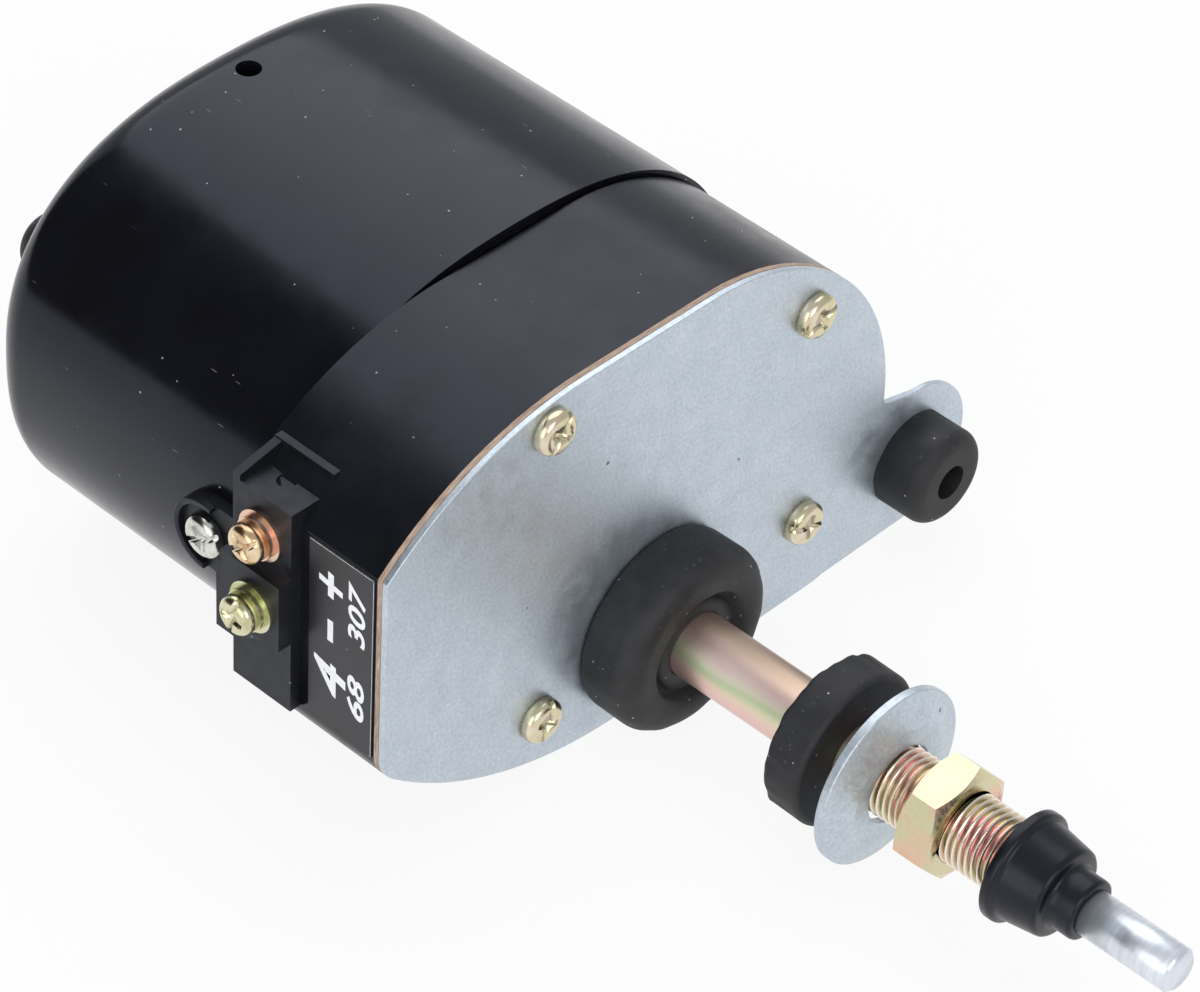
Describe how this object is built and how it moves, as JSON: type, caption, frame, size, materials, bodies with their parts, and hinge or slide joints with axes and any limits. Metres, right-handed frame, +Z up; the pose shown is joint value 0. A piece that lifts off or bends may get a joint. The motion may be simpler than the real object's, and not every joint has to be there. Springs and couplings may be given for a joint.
{
  "type": "wiper motor",
  "caption": "Electric wiper motor with an oval can, gear housing, swinging spindle in a threaded tube, rubber mounts and screw terminals.",
  "frame": {"origin": "where the spindle's axis meets the front plate's front face", "axes": "-Y along the spindle, towards its free end; +X to the ear's side; +Z up, with the flat underside at the bottom"},
  "size_m": [0.1145, 0.1679, 0.0619],
  "materials": {
    "can_paint": "semi gloss black enamel",
    "housing_paint": "semi gloss black enamel",
    "gasket_paper": "pressed paper",
    "zinc_plate": "mottled bright zinc",
    "white_zinc": "bright zinc",
    "yellow_zinc": "yellow passivated zinc",
    "soft_rubber": "moulded matt rubber",
    "cap_rubber": "smooth moulded rubber",
    "block_plastic": "moulded phenolic",
    "label_film": "printed film",
    "bronze": "sintered bronze",
    "brass": "stamped brass",
    "copper": "enamelled copper",
    "ferrite": "sintered ferrite",
    "lamination": "stacked sheet",
    "spring_steel": "stamped steel",
    "ground_steel": "ground steel",
    "phenolic": "phenolic board",
    "carbon": "pressed carbon",
    "nylon": "moulded nylon"
  },
  "bodies": {
    "motor_body": {"motor_can": "can_paint", "gear_housing": "housing_paint", "cover_gasket": "gasket_paper", "front_plate": "zinc_plate", "plate_screws": "yellow_zinc", "ear_grommet": "soft_rubber", "cushion_washer": "soft_rubber", "spindle_tube": "yellow_zinc", "front_spindle_bush": "bronze", "rear_spindle_bush": "bronze", "outer_rubber_washer": "soft_rubber", "dished_washer": "zinc_plate", "hex_nut": "yellow_zinc", "seal_cap": "cap_rubber", "terminal_block": "block_plastic", "terminal_screws": "yellow_zinc", "terminal_spring_washers": "yellow_zinc", "terminal_flat_washers": "yellow_zinc", "terminal_strips": "brass", "can_screws": "white_zinc", "rating_label": "label_film", "rear_plug": "soft_rubber", "pole_magnets": "ferrite", "magnet_clips": "spring_steel", "rear_bearing": "bronze", "rear_bearing_retainer": "spring_steel", "front_bearing": "bronze", "brush_plate": "phenolic", "brush_holders": "brass", "brushes": "carbon", "brush_springs": "spring_steel", "intermediate_axle": "ground_steel", "crank_axle": "ground_steel", "axle_clips": "spring_steel", "park_contact_carrier": "phenolic", "park_contacts": "brass"},
    "armature": {"armature_shaft": "ground_steel", "armature_core": "lamination", "armature_windings": "copper", "commutator": "copper", "motor_pinion": "ground_steel"},
    "intermediate": {"intermediate_gear": "nylon", "intermediate_pinion": "ground_steel"},
    "crank": {"crank_gear": "nylon", "crank_pin": "ground_steel", "crank_pin_clip": "spring_steel", "park_disc": "brass"},
    "rod": {"connecting_rod": "spring_steel"},
    "spindle_group": {"spindle": "ground_steel", "spindle_lever": "spring_steel", "lever_pin": "ground_steel", "thrust_washer": "nylon", "spindle_washer": "nylon", "spindle_clip": "spring_steel"}
  },
  "joints": [
    {"name": "armature_spin", "type": "hinge", "parent": "motor_body", "child": "armature", "pos_m": [-0.00077, 0.01, 0.01665], "axis": [0, 1, 0], "range_deg": [0, 5040]},
    {"name": "intermediate_spin", "type": "hinge", "parent": "motor_body", "child": "intermediate", "pos_m": [-0.00756, 0.01, 0.03003], "axis": [0, 1, 0], "range_deg": [-1008, 0]},
    {"name": "crank_spin", "type": "hinge", "parent": "motor_body", "child": "crank", "pos_m": [-0.024, 0.01, 0.019], "axis": [0, 1, 0], "range_deg": [0, 180]},
    {"name": "rod_swing", "type": "hinge", "parent": "crank", "child": "rod", "pos_m": [-0.03347, 0.01, 0.02309], "axis": [0, 1, 0], "range_deg": [-180, 0]},
    {"name": "spindle_swing", "type": "hinge", "parent": "motor_body", "child": "spindle_group", "pos_m": [0, 0.01, 0], "axis": [0, 1, 0], "range_deg": [0, 105]}
  ],
  "couplings": [
    {"joint": "intermediate_spin", "follows": "armature_spin", "ratio": -0.2},
    {"joint": "crank_spin", "follows": "armature_spin", "ratio": 0.035714},
    {"joint": "rod_swing", "follows": "armature_spin", "ratio": -0.035714},
    {"joint": "spindle_swing", "follows": "armature_spin", "ratio": 0.020833}
  ]
}
